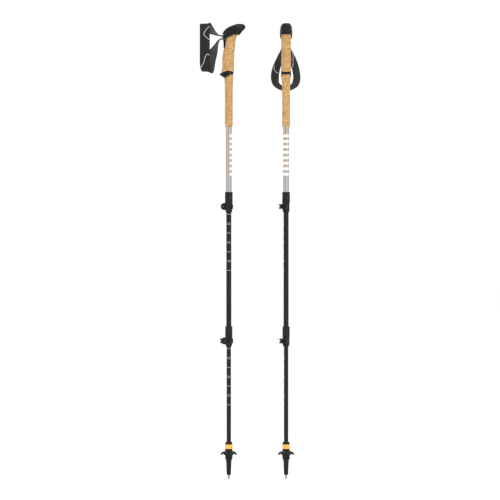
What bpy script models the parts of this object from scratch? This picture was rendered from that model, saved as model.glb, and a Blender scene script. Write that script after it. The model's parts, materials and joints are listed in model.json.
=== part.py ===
"""A pair of three-section telescoping trekking poles with cork grips and lever locks.

Each pole is built in its own frame: the tip's end is at z = 0, +Z runs up the shaft, +X points the way
the grip's nose points, and the wrist strap leaves the grip towards -X. The first pole stands at the
origin with its nose along +X. The second stands beside it with its nose along -Y. Metres throughout.
"""
import math

import bmesh
import bpy
from mathutils import Matrix, Vector

MM = 0.001
GAP = 0.3 * MM                     # clearance between neighbouring solids

# Driving dimensions ---------------------------------------------------------------------------
POLE_SPACING = 153.5 * MM          # between the two shafts
UPPER_RADIUS = 8.0 * MM            # 16 mm upper tube
MIDDLE_RADIUS = 7.0 * MM           # 14 mm middle tube
LOWER_RADIUS = 6.0 * MM            # 12 mm lower tube
TUBE_WALL = 0.6 * MM
SEGMENTS = 16                      # round a turned piece

UPPER_LOCK_Z = 716 * MM            # lower end of each lock's sleeve
LOWER_LOCK_Z = 356 * MM
LOCK_LENGTH = 54 * MM
LOCK_SHOULDER = 24 * MM            # where the outer tube ends inside the sleeve
TUBE_OVERLAP = 60 * MM             # inner tube above the sleeve
UPPER_TUBE_TOP = 1180 * MM
LOWER_TUBE_BOTTOM = 60 * MM

EXTENSION_BOTTOM = 945.5 * MM      # lower end of the long cork sleeve
EXTENSION_RADIUS = 10.6 * MM
STRAP_THICKNESS = 3.2 * MM

EAR_THICKNESS = 3.5 * MM           # lock: clamp ears on both sides of the slit
SLIT_WIDTH = 2.0 * MM
COLLAR_RADIUS = 9.4 * MM
LOCK_AXLE_X = -15.5 * MM           # the lever's barrel pin, in the lock's frame
LOCK_AXLE_Y = 9.8 * MM
LOCK_MID_Z = 15.0 * MM
LEVER_HEIGHT = 13.0 * MM
FORK_GAP = 4.4 * MM
SCREW_RADIUS = 1.6 * MM
BARREL_RADIUS = 3.2 * MM

# Ears of each lock point along -X of its pole's frame, turned about the shaft by these angles.
LOCK_TURNS = {"left": (0.0, 30.0), "right": (160.0, 165.0)}


# Scene helpers --------------------------------------------------------------------------------
def clear_scene():
    for item in list(bpy.data.objects):
        bpy.data.objects.remove(item, do_unlink=True)


def new_collection(name):
    group = bpy.data.collections.new(name)
    bpy.context.scene.collection.children.link(group)
    return group


def new_material(name, color, roughness, metallic=0.0):
    made = bpy.data.materials.new(name)
    made.use_nodes = True
    shader = made.node_tree.nodes["Principled BSDF"]
    shader.inputs["Base Color"].default_value = (*color, 1.0)
    shader.inputs["Roughness"].default_value = roughness
    shader.inputs["Metallic"].default_value = metallic
    return made


def new_object(name, mesh, parent, material=None, at=(0, 0, 0), cutter=False):
    """Link a mesh as a part, or as a hidden cutter, under a parent empty."""
    item = bpy.data.objects.new(name, mesh)
    (CUTTERS if cutter else PARTS).objects.link(item)
    item.parent = parent
    item.location = at
    if material:
        mesh.materials.append(material)
    if cutter:
        item.hide_render = True
        item.display_type = "WIRE"
    else:
        mesh.shade_smooth()
        mesh.set_sharp_from_angle(angle=math.radians(35))
    return item


def new_empty(name, parent=None, at=(0, 0, 0), turn_deg=0.0):
    frame = bpy.data.objects.new(name, None)
    PARTS.objects.link(frame)
    frame.parent = parent
    frame.location = at
    frame.rotation_euler = (0, 0, math.radians(turn_deg))
    return frame


def cut(target, cutter, operation="DIFFERENCE"):
    boolean = target.modifiers.new(cutter.name, "BOOLEAN")
    boolean.operation = operation
    boolean.object = cutter
    boolean.solver = "EXACT"


def round_edges(target, width, segments=2, angle=40):
    bevel = target.modifiers.new("rounding", "BEVEL")
    bevel.width = width
    bevel.segments = segments
    bevel.limit_method = "ANGLE"
    bevel.angle_limit = math.radians(angle)


# Shape helpers --------------------------------------------------------------------------------
def turned(name, profile, parent, material=None, ring=True, steps=SEGMENTS, cutter=False, at=(0, 0, 0)):
    """Turn (radius, z) points about Z. The points run down the outside; a ring closes on itself."""
    count = len(profile)
    edges = [(i, i + 1) for i in range(count - 1)]
    if ring:
        edges.append((count - 1, 0))
    mesh = bpy.data.meshes.new(name)
    mesh.from_pydata([(radius, 0, z) for radius, z in profile], edges, [])
    item = new_object(name, mesh, parent, material, at, cutter)
    screw = item.modifiers.new("turn", "SCREW")
    screw.axis = "Z"
    screw.steps = steps
    screw.render_steps = steps
    screw.use_merge_vertices = True
    screw.merge_threshold = 0.00001
    screw.use_smooth_shade = True
    return item


def tube(name, outer, inner, bottom, top, parent, material=None, **options):
    profile = [(outer, top), (outer, bottom), (inner, bottom), (inner, top)]
    return turned(name, profile, parent, material, **options)


def rod(name, radius, bottom, top, parent, material=None, **options):
    profile = [(0, top), (radius, top), (radius, bottom), (0, bottom)]
    return turned(name, profile, parent, material, ring=False, **options)


def cross_rod(name, radius, start, length, parent, material=None, cutter=False, steps=10):
    """A rod along +Y from its start point, made from the cylinder primitive."""
    mesh = bpy.data.meshes.new(name)
    form = bmesh.new()
    bmesh.ops.create_cone(form, cap_ends=True, segments=steps, radius1=radius, radius2=radius, depth=length)
    bmesh.ops.translate(form, verts=form.verts, vec=(0, 0, length / 2))
    bmesh.ops.rotate(form, verts=form.verts, cent=(0, 0, 0), matrix=Matrix.Rotation(-math.pi / 2, 3, "X"))
    form.to_mesh(mesh)
    form.free()
    return new_object(name, mesh, parent, material, start, cutter)


def block(name, low, high, parent, material=None, cutter=False):
    low, high = Vector(low), Vector(high)
    mesh = bpy.data.meshes.new(name)
    form = bmesh.new()
    bmesh.ops.create_cube(form, size=1.0)
    bmesh.ops.scale(form, verts=form.verts, vec=high - low)
    form.to_mesh(mesh)
    form.free()
    return new_object(name, mesh, parent, material, (low + high) / 2, cutter)


def mm(*values):
    return Vector(values) * MM


def block_mm(name, low, high, parent, material=None, **options):
    return block(name, mm(*low), mm(*high), parent, material, **options)


def plate(name, outline, half_thickness, parent, material=None, upright=True, at=(0, 0, 0), cutter=False):
    """A flat outline with a thickness: in the XZ plane when upright, else in the XY plane."""
    curve = bpy.data.curves.new(name, "CURVE")
    curve.dimensions = "2D"
    curve.fill_mode = "BOTH"
    curve.extrude = half_thickness
    spline = curve.splines.new("POLY")
    spline.points.add(len(outline) - 1)
    for point, (u, v) in zip(spline.points, outline):
        point.co = (u, v, 0, 1)
    spline.use_cyclic_u = True
    flat = bpy.data.objects.new(name + "_outline", curve)
    bpy.context.scene.collection.objects.link(flat)
    mesh = bpy.data.meshes.new_from_object(flat.evaluated_get(bpy.context.evaluated_depsgraph_get()))
    bpy.data.objects.remove(flat)
    form = bmesh.new()
    form.from_mesh(mesh)
    bmesh.ops.remove_doubles(form, verts=form.verts, dist=0.000001)
    if upright:
        bmesh.ops.rotate(form, verts=form.verts, cent=(0, 0, 0), matrix=Matrix.Rotation(math.pi / 2, 3, "X"))
    bmesh.ops.recalc_face_normals(form, faces=form.faces)
    form.to_mesh(mesh)
    form.free()
    mesh.name = name
    return new_object(name, mesh, parent, material, at, cutter)


def loft(name, rings, parent, material=None, at=(0, 0, 0), cutter=False):
    """Join equal rings of points into one closed skin with flat ends."""
    count = len(rings[0])
    mesh = bpy.data.meshes.new(name)
    form = bmesh.new()
    rows = [[form.verts.new(point) for point in ring] for ring in rings]
    for lower, upper in zip(rows, rows[1:]):
        for i in range(count):
            j = (i + 1) % count
            form.faces.new((lower[i], lower[j], upper[j], upper[i]))
    form.faces.new(rows[0])
    form.faces.new(rows[-1])
    bmesh.ops.recalc_face_normals(form, faces=form.faces)
    form.to_mesh(mesh)
    form.free()
    return new_object(name, mesh, parent, material, at, cutter)


def oval(z, rear, front, half_width, power=2.3, count=20):
    """A horizontal superellipse section of the grip, from its rear x to its front x."""
    ring = []
    for i in range(count):
        angle = 2 * math.pi * i / count
        cosine, sine = math.cos(angle), math.sin(angle)
        x = math.copysign(abs(cosine) ** (2 / power), cosine)
        y = math.copysign(abs(sine) ** (2 / power), sine)
        ring.append(((rear + front) / 2 + x * (front - rear) / 2, y * half_width, z))
    return ring


def ovals(sections, grow=0.0, **options):
    """Sections given in millimetres as (z, rear, front, half width), optionally a little larger."""
    return [oval(z * MM, (rear - grow) * MM, (front + grow) * MM, (half + grow) * MM, **options)
            for z, rear, front, half in sections]


def arc(center, radius, start_deg, end_deg, count):
    points = []
    for i in range(count + 1):
        angle = math.radians(start_deg + (end_deg - start_deg) * i / count)
        points.append((center[0] + radius * math.cos(angle), center[1] + radius * math.sin(angle)))
    return points


def in_mm(points):
    return [tuple(value * MM for value in point) for point in points]


def smooth_value(values, t):
    """Catmull-Rom value at t, where t counts stations."""
    i = min(int(t), len(values) - 2)
    u = t - i
    p1, p2 = values[i], values[i + 1]
    p0 = values[i - 1] if i > 0 else p1 * 2 - p2
    p3 = values[i + 2] if i + 2 < len(values) else p2 * 2 - p1
    return 0.5 * ((p1 * 2) + (p2 - p0) * u + (p0 * 2 - p1 * 5 + p2 * 4 - p3) * u * u
                  + (p1 * 3 - p0 - p2 * 3 + p3) * u * u * u)


# Grip -----------------------------------------------------------------------------------------
# Sections in millimetres: height, rear x, front x, half width.
HEAD_SECTIONS = [
    (1152.0, -14.3, 17.0, 13.4), (1168.0, -14.6, 18.2, 13.9), (1178.0, -16.0, 19.5, 15.0),
    (1183.0, -17.4, 23.5, 16.2), (1188.0, -18.2, 27.0, 16.6), (1193.4, -17.5, 31.4, 17.1),
    (1198.8, -15.4, 35.4, 17.2), (1204.1, -11.9, 40.4, 16.6), (1209.5, -5.8, 44.4, 15.9),
    (1213.0, 0.0, 44.6, 14.8), (1216.5, 8.0, 43.2, 12.8), (1219.3, 16.5, 40.0, 10.2),
    (1220.7, 23.0, 34.5, 6.0),
]
CORK_SECTIONS = [
    (1072.0, -22.0, 13.0, 13.2), (1085.0, -21.8, 13.2, 13.3), (1092.0, -20.4, 13.4, 13.3),
    (1099.0, -18.4, 13.7, 13.2), (1108.0, -17.4, 14.1, 13.3), (1120.0, -17.6, 14.5, 13.2),
    (1132.0, -17.2, 14.7, 12.8), (1144.0, -15.0, 15.2, 12.4), (1156.0, -13.2, 16.4, 12.6),
    (1168.0, -12.8, 17.5, 13.0), (1178.0, -12.8, 18.4, 13.1), (1186.0, -12.8, 21.5, 13.1),
    (1193.0, -12.0, 26.0, 12.6),
]
RING_SECTIONS = [
    (1072.0, -12.5, 12.2, 12.6), (1077.0, -15.0, 12.2, 13.2), (1081.0, -21.5, 12.3, 13.6),
    (1085.0, -26.2, 12.4, 13.8), (1088.0, -24.0, 12.6, 13.8), (1091.0, -21.2, 13.4, 13.6),
    (1097.0, -19.0, 14.0, 13.5),
]
# Side outlines in millimetres (x, z): what belongs to the head, and what belongs to the ring.
HEAD_BOUNDARY = [
    (50.0, 1194.0), (30.0, 1190.6), (23.0, 1191.6), (16.5, 1192.0), (10.0, 1189.8), (4.0, 1186.8),
    (-3.0, 1184.2), (-6.8, 1181.0), (-8.2, 1174.0), (-9.4, 1165.0), (-11.6, 1155.6), (-16.0, 1157.0),
]
RING_TOP = [
    (-32.0, 1085.8), (-26.1, 1085.6), (-19.0, 1088.4), (-12.0, 1091.6), (-1.0, 1094.6), (8.0, 1092.3),
    (20.0, 1090.2),
]
RING_BOTTOM = [
    (20.0, 1084.2), (6.0, 1084.4), (-2.8, 1080.2), (-11.1, 1075.4), (-14.5, 1076.6), (-20.0, 1080.6),
    (-26.1, 1084.6), (-32.0, 1084.8),
]
OVER_HEAD = [(60.0, 1260.0), (-60.0, 1260.0), (-60.0, 1157.0)]     # closes the head's outline above it
GRIP_LIMIT = 40.0                  # mm, past the grip on every side
STRAP_SLOT_Z = 1188.7              # mm, middle of the strap's entry


def shifted(outline, up):
    return [(x, z + up) for x, z in outline]


def strip(name, low_line, high_line, parent):
    """A cutter that fills the side outline between a lower line and a higher line."""
    outline = in_mm(list(low_line) + list(reversed(high_line)))
    return plate(name, outline, GRIP_LIMIT * MM, parent, cutter=True)


def build_grip(side, frame):
    bore = rod(f"{side}_grip_bore", UPPER_RADIUS + GAP, 900 * MM, 1240 * MM, frame, cutter=True)

    # Cork handle, from the ring's top up to the head's lower edge.
    cork = loft(f"{side}_grip_cork", ovals(CORK_SECTIONS), frame, CORK)
    clearance = GAP / MM
    head_space = plate(f"{side}_head_space", in_mm(OVER_HEAD + shifted(HEAD_BOUNDARY[::-1], -clearance)),
                       GRIP_LIMIT * MM, frame, cutter=True)
    below_ring = strip(f"{side}_below_ring_top", [(-60.0, 1040.0), (60.0, 1040.0)],
                       [(-60.0, 1085.8 + clearance)] + shifted(RING_TOP, clearance) + [(60.0, 1090.2)], frame)
    cut(cork, bore)
    cut(cork, head_space)
    cut(cork, below_ring)

    # Thin hard ring that props the hand, with a beak to the rear.
    ring = loft(f"{side}_grip_ring", ovals(RING_SECTIONS, power=2.0), frame, BLACK_PLASTIC)
    ring_space = strip(f"{side}_ring_space", list(reversed(RING_BOTTOM)), RING_TOP, frame)
    cut(ring, ring_space, "INTERSECT")
    cut(ring, bore)

    # Long cork sleeve for a lower hold.
    profile = in_mm([(11.7, 1090), (11.7, 1071), (10.9, 1052), (10.6, 1038), (10.6, 947.5), (9.8, 945.5)])
    profile += [(UPPER_RADIUS + GAP, EXTENSION_BOTTOM), (UPPER_RADIUS + GAP, 1090 * MM)]
    extension = turned(f"{side}_grip_extension", profile, frame, CORK)
    above_ring = strip(f"{side}_above_ring_bottom",
                       shifted(list(reversed(RING_BOTTOM)), -clearance), [(-32.0, 1140.0), (20.0, 1140.0)],
                       frame)
    cut(extension, above_ring)

    # Hard head: cap, nose and the tongue down the back, plugged into the tube.
    head = loft(f"{side}_grip_head", ovals(HEAD_SECTIONS), frame, BLACK_PLASTIC)
    head_zone = plate(f"{side}_head_zone", in_mm(OVER_HEAD + HEAD_BOUNDARY[::-1]), GRIP_LIMIT * MM, frame,
                      cutter=True)
    cut(head, head_zone, "INTERSECT")
    tube_space = rod(f"{side}_tube_space", UPPER_RADIUS + GAP, 1140 * MM, UPPER_TUBE_TOP + GAP, frame, cutter=True)
    cut(head, tube_space)
    peg = rod(f"{side}_head_peg", UPPER_RADIUS - TUBE_WALL - GAP, 1158 * MM, 1192 * MM, frame, cutter=True)
    cut(head, peg, "UNION")
    strap_slot = block_mm(f"{side}_strap_slot", (-40, -11.5, STRAP_SLOT_Z - 2.9),
                          (2.6, 11.5, STRAP_SLOT_Z + 2.9), frame, cutter=True)
    tail_slot = block_mm(f"{side}_tail_slot", (-40, -11.5, 1177.2), (-12.5, 11.5, 1182.2), frame, cutter=True)
    pin_hole = cross_rod(f"{side}_strap_pin_hole", 1.9 * MM, mm(-1.5, -13.6, STRAP_SLOT_Z), 27.2 * MM,
                         frame, cutter=True)
    badge_recess = block_mm(f"{side}_badge_recess", (21, -5.3, 1217.2), (34.6, 5.3, 1230), frame, cutter=True)
    for cutter in (strap_slot, tail_slot, pin_hole, badge_recess):
        cut(head, cutter)

    badge = block_mm(f"{side}_head_badge", (21.3, -5, 1217.5), (34.3, 5, 1220.0), frame, SILVER_PLASTIC)
    round_edges(badge, 0.8 * MM, 1)


# Wrist strap ----------------------------------------------------------------------------------
# Stations: centre x, y, z, then the direction across the band x, y, z, then its width; millimetres.
LEFT_STRAP = [
    (-21.6, 0.0, 1188.7, 0, 1, 0, 19), (-31.0, 0.0, 1191.4, 0.24, 0.95, 0.2, 20),
    (-41.0, 2.0, 1197.0, 0.6, 0.76, 0.26, 23), (-51.0, 4.0, 1206.0, 0.86, 0.45, 0.25, 26),
    (-58.0, 4.0, 1213.5, 0.97, 0.1, 0.12, 27),
    (-62.5, 0.5, 1218.6, 1, 0, 0.04, 27), (-63.8, -6.0, 1219.4, 1, 0, 0.04, 27),
    (-64.2, -10.5, 1214.0, 1, 0, 0.03, 27), (-64.2, -12.0, 1198.0, 1, 0, 0, 27),
    (-64.2, -13.0, 1170.0, 1, 0, 0, 27), (-64.2, -13.0, 1140.0, 1, 0, 0, 27),
    (-64.2, -12.0, 1115.0, 1, 0, -0.08, 27), (-62.4, -9.0, 1101.0, 1, 0.05, -0.14, 26),
    (-56.6, -1.0, 1093.4, 1, 0.1, -0.26, 25), (-52.2, 6.4, 1097.2, 1, 0.05, -0.2, 25),
    (-50.4, 10.0, 1110.0, 1, 0, 0.06, 26), (-47.4, 11.5, 1128.0, 1, 0, 0.16, 26),
    (-41.6, 10.0, 1146.0, 0.88, 0.3, 0.3, 25), (-34.8, 6.0, 1162.0, 0.6, 0.72, 0.32, 23),
    (-28.0, 2.0, 1174.5, 0.28, 0.95, 0.18, 20), (-21.6, 0.0, 1179.7, 0, 1, 0, 19),
]
RIGHT_STRAP = [
    (-21.6, 0.0, 1188.7, 0, 1, 0, 19), (-31.0, -0.8, 1188.6, 0.1, 1, 0.1, 20),
    (-41.5, -1.8, 1178.0, 0.5, 0.86, 0.2, 22), (-46.0, -5.2, 1157.0, 0.78, 0.6, 0.2, 25),
    (-45.5, -13.2, 1135.0, 0.64, 0.74, 0.24, 27), (-44.0, -24.0, 1110.0, 0.62, 0.77, 0.15, 27),
    (-42.5, -29.4, 1086.0, 0.63, 0.78, 0.02, 27), (-40.0, -28.0, 1068.0, 0.7, 0.66, 0.3, 27),
    (-36.0, -20.0, 1055.4, 0.85, 0.2, 0.46, 26), (-33.5, -8.0, 1049.4, 0.9, 0.04, 0.42, 25),
    (-33.0, 4.0, 1048.8, 0.9, -0.03, 0.42, 25), (-35.0, 16.0, 1053.4, 0.87, -0.2, 0.44, 26),
    (-39.0, 26.0, 1064.4, 0.74, -0.58, 0.32, 27), (-42.5, 29.4, 1080.0, 0.72, -0.69, 0.06, 27),
    (-42.5, 25.2, 1106.0, 0.68, -0.72, 0.14, 27), (-38.0, 15.6, 1130.0, 0.62, -0.76, 0.2, 27),
    (-32.0, 6.0, 1152.0, 0.7, -0.68, 0.2, 24), (-27.5, 1.6, 1170.5, 0.4, -0.9, 0.1, 21),
    (-21.6, 0.0, 1179.7, 0, -1, 0, 19),
]
STRAP_PIVOT = (-20.0 * MM, 0.0, 1184.2 * MM)
STRAP_STEPS = 2                    # rings between two stations


def band_rings(stations, thickness, steps, origin):
    """Rectangular rings along a flat band that bends and twists."""
    centers = [Vector(s[:3]) * MM for s in stations]
    across = [Vector(s[3:6]).normalized() for s in stations]
    widths = [s[6] * MM for s in stations]
    last = len(stations) - 1
    rings = []
    for k in range(last * steps + 1):
        t = k / steps
        center = smooth_value(centers, t)
        ahead = smooth_value(centers, min(t + 0.05, last)) - smooth_value(centers, max(t - 0.05, 0))
        side = smooth_value(across, t)
        along = ahead.normalized()
        side = (side - along * side.dot(along)).normalized()
        normal = along.cross(side)
        half, thick = smooth_value(widths, t) / 2, thickness / 2
        corners = [(-half, -thick), (half, -thick), (half, thick), (-half, thick)]
        rings.append([center + side * u + normal * v - Vector(origin) for u, v in corners])
    return rings


def build_strap(side, frame, stations):
    rings = band_rings(stations, STRAP_THICKNESS, STRAP_STEPS, STRAP_PIVOT)
    loft(f"{side}_strap_loop", rings, frame, WEBBING, at=STRAP_PIVOT)

    # Webbing inside the head: it runs in over the pin, and its tail is held behind the wedge.
    webbing = block_mm(f"{side}_strap_webbing", (-18.2, -9.5, STRAP_SLOT_Z - 2.4),
                       (-4.2, 9.5, STRAP_SLOT_Z - 0.9), frame, WEBBING)
    round_edges(webbing, 0.3 * MM, 1)
    cross_rod(f"{side}_strap_pin", 1.6 * MM, mm(-1.5, -13.3, STRAP_SLOT_Z), 26.6 * MM, frame, STEEL)
    low, high = STRAP_SLOT_Z - 0.5, STRAP_SLOT_Z + 2.4
    wedge_outline = in_mm([(-13.0, low), (-4.6, low), (-4.6, high), (-9.5, high)])
    plate(f"{side}_strap_wedge", wedge_outline, 9.0 * MM, frame, BLACK_PLASTIC)


# Lever locks ----------------------------------------------------------------------------------
def build_sleeve(name, frame, outer_tube, inner_tube, sleeve_radius, top_taper):
    """Split clamp sleeve: a socket for the outer tube over a collar that grips the inner tube."""
    socket, grip = outer_tube + GAP, inner_tube + GAP
    profile = [
        (sleeve_radius - 1.0 * MM, LOCK_LENGTH), (sleeve_radius, LOCK_LENGTH - top_taper),
        (sleeve_radius, LOCK_SHOULDER), (COLLAR_RADIUS, LOCK_SHOULDER - 0.8 * MM),
        (COLLAR_RADIUS, 6 * MM), (grip + 1.3 * MM, 0), (grip, 0), (grip, LOCK_SHOULDER),
        (socket, LOCK_SHOULDER), (socket, LOCK_LENGTH),
    ]
    sleeve = turned(name, profile, frame, LOCK_PLASTIC)
    half = EAR_THICKNESS + SLIT_WIDTH / 2
    ear_radius, ear_x = 9.6, -12.2
    outline = arc((ear_x, LOCK_MID_Z / MM), ear_radius, 90, 270, 8)
    outline += [(-8.0, LOCK_MID_Z / MM - ear_radius), (-8.0, LOCK_MID_Z / MM + ear_radius)]
    ears = plate(f"{name}_ears", in_mm(outline), half, frame, cutter=True)
    cut(sleeve, ears, "UNION")
    bore = rod(f"{name}_bore", grip, -5 * MM, LOCK_SHOULDER - 0.1 * MM, frame, cutter=True)
    slit = block(f"{name}_slit", (-40 * MM, -SLIT_WIDTH / 2, -5 * MM),
                 (-3 * MM, SLIT_WIDTH / 2, LOCK_SHOULDER + 1.6 * MM), frame, cutter=True)
    screw_hole = cross_rod(f"{name}_screw_hole", SCREW_RADIUS + GAP, (LOCK_AXLE_X, -20 * MM, LOCK_MID_Z),
                           40 * MM, frame, cutter=True)
    for cutter in (bore, slit, screw_hole):
        cut(sleeve, cutter)
    return sleeve


def build_lever(name, frame):
    """Clamp lever: a fork on the barrel pin and a curved arm that hugs the collar."""
    pivot = (LOCK_AXLE_X / MM, LOCK_AXLE_Y / MM)
    inner, outer, boss = 9.8, 11.6, 5.0
    outline = arc((0, 0), outer, -27, 80, 6)
    outline += arc(pivot, boss, 68, 300, 7)
    outline += arc((0, 0), inner, 115, -29, 8)
    points = [((x - pivot[0]) * MM, (y - pivot[1]) * MM) for x, y in outline]
    place = (LOCK_AXLE_X, LOCK_AXLE_Y, LOCK_MID_Z)
    lever = plate(name, points, LEVER_HEIGHT / 2, frame, LOCK_PLASTIC, upright=False, at=place)
    hole = rod(f"{name}_hole", BARREL_RADIUS + GAP, 0, 30 * MM, frame, cutter=True, steps=12,
               at=(LOCK_AXLE_X, LOCK_AXLE_Y, 0))
    fork = block(f"{name}_fork", (LOCK_AXLE_X - 8 * MM, 0, LOCK_MID_Z - FORK_GAP / 2),
                 (LOCK_AXLE_X + 6 * MM, 24 * MM, LOCK_MID_Z + FORK_GAP / 2), frame, cutter=True)
    cut(lever, hole)
    cut(lever, fork)
    return lever


def build_lock(name, pole_frame, height, turn_deg, outer_tube, inner_tube, sleeve_radius, top_taper):
    frame = new_empty(f"{name}_frame", pole_frame, (0, 0, height), turn_deg)
    build_sleeve(f"{name}_sleeve", frame, outer_tube, inner_tube, sleeve_radius, top_taper)
    build_lever(f"{name}_lever", frame)
    half = LEVER_HEIGHT / 2 - 0.4 * MM
    barrel = rod(f"{name}_barrel_pin", BARREL_RADIUS, -half, half, frame, STEEL, steps=12,
                 at=(LOCK_AXLE_X, LOCK_AXLE_Y, LOCK_MID_Z))
    cross_hole = cross_rod(f"{name}_barrel_hole", SCREW_RADIUS + GAP, (LOCK_AXLE_X, 0, LOCK_MID_Z), 20 * MM,
                           frame, cutter=True)
    cut(barrel, cross_hole)

    # The adjusting screw runs through both ears into the barrel pin, under a knurled thumb wheel.
    seat = -(EAR_THICKNESS + SLIT_WIDTH / 2) - GAP
    wheel_length, head_length = 2.6 * MM, 1.3 * MM
    head_start = seat - wheel_length - GAP - head_length
    shank_start = head_start + head_length / 2
    screw = cross_rod(f"{name}_screw", SCREW_RADIUS, (LOCK_AXLE_X, shank_start, LOCK_MID_Z),
                      LOCK_AXLE_Y + 2.6 * MM - shank_start, frame, STEEL)
    head = cross_rod(f"{name}_screw_head", 2.7 * MM, (LOCK_AXLE_X, head_start, LOCK_MID_Z), head_length,
                     frame, cutter=True)
    cut(screw, head, "UNION")
    wheel = cross_rod(f"{name}_wheel", 4.2 * MM, (LOCK_AXLE_X, seat - wheel_length, LOCK_MID_Z),
                      wheel_length, frame, LOCK_PLASTIC, steps=14)
    wheel_hole = cross_rod(f"{name}_wheel_hole", SCREW_RADIUS + GAP,
                           (LOCK_AXLE_X, seat - 10 * MM, LOCK_MID_Z), 12 * MM, frame, cutter=True)
    cut(wheel, wheel_hole)


# Shaft ----------------------------------------------------------------------------------------
def build_plug(name, frame, tube_radius, top, outer_bore):
    """Plastic guide in the upper end of an inner tube; its flange centres it in the outer tube."""
    stem = tube_radius - TUBE_WALL - GAP
    flange = outer_bore - GAP
    profile = [(0, top + 3 * MM), (flange - 0.6 * MM, top + 3 * MM), (flange, top + 2 * MM),
               (flange, top + GAP), (stem, top + GAP), (stem, top - 18 * MM), (0, top - 18 * MM)]
    turned(name, profile, frame, BLACK_PLASTIC, ring=False)


def build_shaft(side, frame):
    upper_bottom = UPPER_LOCK_Z + LOCK_SHOULDER + GAP
    middle_top = UPPER_LOCK_Z + LOCK_LENGTH + TUBE_OVERLAP
    middle_bottom = LOWER_LOCK_Z + LOCK_SHOULDER + GAP
    lower_top = LOWER_LOCK_Z + LOCK_LENGTH + TUBE_OVERLAP
    tube(f"{side}_upper_tube", UPPER_RADIUS, UPPER_RADIUS - TUBE_WALL, upper_bottom, UPPER_TUBE_TOP, frame,
         SILVER_TUBE)
    tube(f"{side}_middle_tube", MIDDLE_RADIUS, MIDDLE_RADIUS - TUBE_WALL, middle_bottom, middle_top, frame,
         BLACK_TUBE)
    tube(f"{side}_lower_tube", LOWER_RADIUS, LOWER_RADIUS - TUBE_WALL, LOWER_TUBE_BOTTOM, lower_top, frame,
         BLACK_TUBE)
    build_plug(f"{side}_middle_guide_plug", frame, MIDDLE_RADIUS, middle_top, UPPER_RADIUS - TUBE_WALL)
    build_plug(f"{side}_lower_guide_plug", frame, LOWER_RADIUS, lower_top, MIDDLE_RADIUS - TUBE_WALL)


# Tip ------------------------------------------------------------------------------------------
def build_tip(side, frame):
    socket = LOWER_RADIUS + GAP
    floor, mouth = LOWER_TUBE_BOTTOM - GAP, 100.8 * MM
    profile = [(0, floor), (socket, floor), (socket, mouth)]
    profile += in_mm([(7.3, 100.8), (9.0, 99.4), (9.9, 96.4), (9.9, 93.7), (7.4, 93.7), (7.4, 54.0),
                      (7.7, 51.8), (6.0, 15.0), (5.0, 12.0), (3.4, 11.5), (3.4, 36.0), (0, 36.0)])
    turned(f"{side}_tip_housing", profile, frame, BLACK_PLASTIC, ring=False)
    tube(f"{side}_accent_ring", 10.5 * MM, 7.7 * MM, 81.7 * MM, 93.4 * MM, frame, ORANGE)

    # Basket: a hub on the housing and a drooping rim with round windows, notched between four lobes.
    hub = in_mm([(8.6, 81.4), (9.8, 80.2), (9.8, 77.2), (14.0, 75.6), (19.0, 72.6), (22.6, 67.6),
                 (22.6, 65.6), (21.0, 65.6), (18.0, 69.4), (13.5, 72.2), (9.8, 73.4), (9.4, 54.0),
                 (8.4, 52.4), (7.7, 52.4), (7.7, 81.4)])
    basket = turned(f"{side}_basket", hub, frame, BLACK_PLASTIC, steps=24)
    lobes = 4
    for i in range(lobes):
        angle = 2 * math.pi * i / lobes
        place = (15.6 * MM * math.cos(angle), 15.6 * MM * math.sin(angle), 0)
        window = rod(f"{side}_basket_window_{i + 1}", 3.2 * MM, 50 * MM, 90 * MM, frame, cutter=True, steps=8,
                     at=place)
        cut(basket, window)
        notch = cross_rod(f"{side}_basket_notch_{i + 1}", 6.5 * MM, (0, 0, 0), 16 * MM, frame, cutter=True,
                          steps=12)
        turn = angle + math.pi / lobes
        notch.location = (-10.6 * MM * math.sin(turn), 10.6 * MM * math.cos(turn), 63.5 * MM)
        notch.rotation_euler = (0, 0, turn)
        cut(basket, notch)

    holder = in_mm([(0, 35.6), (3.0, 35.6), (3.0, 11.2), (2.4, 10.6), (3.1, 5.6), (2.5, 3.0), (1.9, 3.0),
                    (1.9, 9.0), (0, 9.0)])
    turned(f"{side}_tip_holder", holder, frame, STEEL, ring=False, steps=12)
    carbide = in_mm([(0, 8.7), (1.6, 8.7), (1.6, 0.6), (1.2, 0), (0, 0)])
    turned(f"{side}_carbide_tip", carbide, frame, CARBIDE, ring=False, steps=12)


def build_pole(side, place, turn_deg, strap):
    frame = new_empty(f"{side}_pole_frame", None, place, turn_deg)
    upper_turn, lower_turn = LOCK_TURNS[side]
    build_grip(side, frame)
    build_strap(side, frame, strap)
    build_shaft(side, frame)
    build_lock(f"{side}_upper_lock", frame, UPPER_LOCK_Z, upper_turn, UPPER_RADIUS, MIDDLE_RADIUS,
               10.5 * MM, 1.2 * MM)
    build_lock(f"{side}_lower_lock", frame, LOWER_LOCK_Z, lower_turn, MIDDLE_RADIUS, LOWER_RADIUS,
               9.8 * MM, 3.2 * MM)
    build_tip(side, frame)


clear_scene()
PARTS = new_collection("TrekkingPoles")
CUTTERS = new_collection("Cutters")

CORK = new_material("cork", (0.62, 0.37, 0.13), 0.85)
BLACK_PLASTIC = new_material("black_plastic", (0.015, 0.015, 0.016), 0.45)
LOCK_PLASTIC = new_material("lock_plastic", (0.02, 0.02, 0.021), 0.4)
SILVER_PLASTIC = new_material("silver_plastic", (0.35, 0.35, 0.36), 0.3, 0.6)
SILVER_TUBE = new_material("silver_tube", (0.45, 0.42, 0.37), 0.35, 0.7)
BLACK_TUBE = new_material("black_tube", (0.012, 0.012, 0.013), 0.25, 0.4)
WEBBING = new_material("webbing", (0.05, 0.05, 0.055), 0.9)
ORANGE = new_material("orange", (0.95, 0.42, 0.05), 0.45)
STEEL = new_material("steel", (0.6, 0.6, 0.6), 0.3, 1.0)
CARBIDE = new_material("carbide", (0.25, 0.25, 0.26), 0.4, 1.0)

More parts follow.
